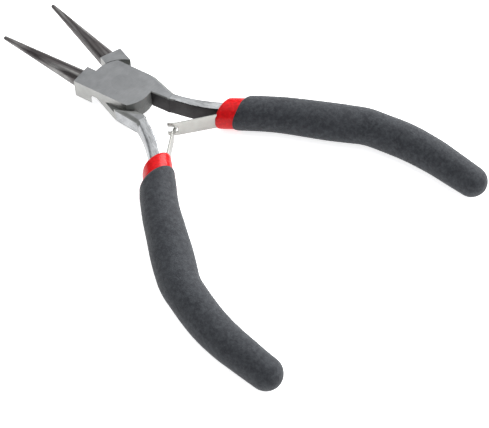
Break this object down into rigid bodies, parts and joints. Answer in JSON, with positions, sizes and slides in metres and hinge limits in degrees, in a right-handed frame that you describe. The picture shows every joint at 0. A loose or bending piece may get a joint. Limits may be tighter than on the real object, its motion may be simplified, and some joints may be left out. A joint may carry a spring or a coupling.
{
  "type": "round nose pliers",
  "caption": "Small round nose pliers: lap-jointed steel forgings with cone jaws, crossed leaf springs that push the handles open, and double-dipped bowed grips.",
  "frame": {"origin": "on the pivot axis, at the lower ground face of the head", "axes": "+Z along the pivot axis, up out of the upper face of the head; +Y towards the jaw tips, midway between the open jaws; +X towards the upper half's handle"},
  "size_m": [0.079, 0.1189, 0.0088],
  "materials": {
    "forged_steel": "satin ground head and tangs, black oxide cone jaws",
    "rivet_steel": "ground flush",
    "spring_steel": "nickel-plated satin",
    "red_dip": "glossy",
    "charcoal_grip": "matte, finely granular"
  },
  "bodies": {
    "upper_side": {"upper_half": "forged_steel", "pivot_rivet": "rivet_steel", "upper_leaf_rivet": "rivet_steel", "upper_sleeve": "red_dip", "upper_grip": "charcoal_grip"},
    "lower_side": {"lower_half": "forged_steel", "lower_leaf_rivet": "rivet_steel", "lower_sleeve": "red_dip", "lower_grip": "charcoal_grip"},
    "forked_spring": {"forked_leaf": "spring_steel"},
    "tongued_spring": {"tongued_leaf": "spring_steel"}
  },
  "joints": [
    {"name": "main_pivot", "type": "hinge", "parent": "upper_side", "child": "lower_side", "pos_m": [0, 0, 0], "axis": [0, 0, 1], "range_deg": [0, 24], "stiffness_Nm_per_rad": 0.8},
    {"name": "forked_leaf_flex", "type": "hinge", "parent": "upper_side", "child": "forked_spring", "pos_m": [0.0079, -0.02371, 0.00252], "axis": [0, 0, 1], "range_deg": [-28.7, 0], "deforming": ["forked_leaf"]},
    {"name": "tongued_leaf_flex", "type": "hinge", "parent": "lower_side", "child": "tongued_spring", "pos_m": [-0.0079, -0.02371, 0.00252], "axis": [0, 0, 1], "range_deg": [0, 28.7], "deforming": ["tongued_leaf"]}
  ],
  "couplings": [
    {"joint": "forked_leaf_flex", "follows": "main_pivot", "ratio": -1.194},
    {"joint": "tongued_leaf_flex", "follows": "main_pivot", "ratio": 1.194}
  ]
}
